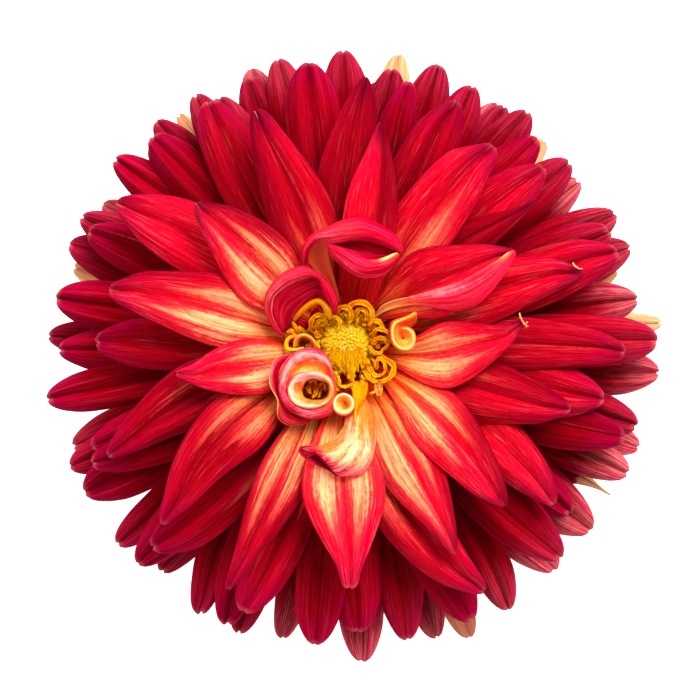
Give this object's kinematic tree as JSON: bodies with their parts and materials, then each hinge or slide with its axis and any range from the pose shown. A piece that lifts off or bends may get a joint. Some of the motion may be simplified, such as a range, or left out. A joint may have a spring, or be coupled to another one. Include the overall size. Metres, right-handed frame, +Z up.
{
  "type": "cut dahlia bloom",
  "caption": "Open decorative dahlia flower head, as cut, lying face up on its back petals, with curled inner petals, an open disc, bracts and a short stem stub.",
  "frame": {"origin": "centre of the bloom's outline, on the surface that its back petals rest on", "axes": "+Z up through the flower's open face; +Y towards the top edge of the flower as seen from straight above, +X to its right"},
  "size_m": [0.1544, 0.1532, 0.0497],
  "materials": {
    "petal_red": "soft satin petal, bright red with pink margins and cream to orange streaks beside the central fold",
    "petal_crimson": "velvety petal, deep crimson to magenta, a few faded pale pink or tan",
    "floret_amber": "waxy amber yellow, curled",
    "disc_olive": "waxy olive yellow buds",
    "receptacle_green": "matt green flesh, paler at the cut end of the stem",
    "bract_cream": "thin papery pale green, cream at the edge",
    "bract_green": "fleshy mid green with fine veins"
  },
  "bodies": {
    "root": {"disc_buds": "disc_olive", "open_disc_florets": "floret_amber", "receptacle_with_stem": "receptacle_green", "inner_bracts": "bract_cream", "green_bracts": "bract_green", "hooked_petal_top": "petal_red", "hooded_petal_left": "petal_red", "scrolled_petal": "petal_red", "folded_petal_bottom": "petal_red", "rolled_petal_right": "floret_amber", "rolled_petal_left": "floret_amber", "small_tube_petal": "floret_amber", "inner_petal_01": "petal_red", "inner_petal_02": "petal_red", "inner_petal_03": "petal_red", "inner_petal_04": "petal_red", "inner_petal_05": "petal_red", "inner_petal_06": "petal_red", "inner_petal_07": "petal_red", "inner_petal_08": "petal_red", "inner_petal_09": "petal_red", "inner_petal_10": "petal_red", "inner_petal_11": "petal_red", "inner_petal_12": "petal_red", "inner_petal_13": "petal_red", "inner_petal_14": "petal_red", "inner_petal_15": "petal_red", "inner_petal_16": "petal_red", "inner_petal_17": "petal_red", "inner_petal_18": "petal_red", "inner_petal_19": "petal_red", "inner_petal_20": "petal_red", "inner_petal_21": "petal_red", "inner_petal_22": "petal_red", "inner_petal_23": "petal_red", "inner_petal_24": "petal_red", "middle_petals_1": "petal_crimson", "middle_petals_2": "petal_crimson", "middle_petals_3": "petal_crimson", "middle_petals_4": "petal_crimson", "middle_petals_5": "petal_crimson", "middle_petals_6": "petal_crimson", "middle_petals_7": "petal_crimson", "middle_petals_8": "petal_crimson", "middle_petals_9": "petal_crimson", "outer_petals_01": "petal_crimson", "outer_petals_02": "petal_crimson", "outer_petals_03": "petal_crimson", "outer_petals_04": "petal_crimson", "outer_petals_05": "petal_crimson", "outer_petals_06": "petal_crimson", "outer_petals_07": "petal_crimson", "outer_petals_08": "petal_crimson", "outer_petals_09": "petal_crimson", "outer_petals_10": "petal_crimson", "outer_petals_11": "petal_crimson", "outer_petals_12": "petal_crimson"}
  },
  "joints": []
}
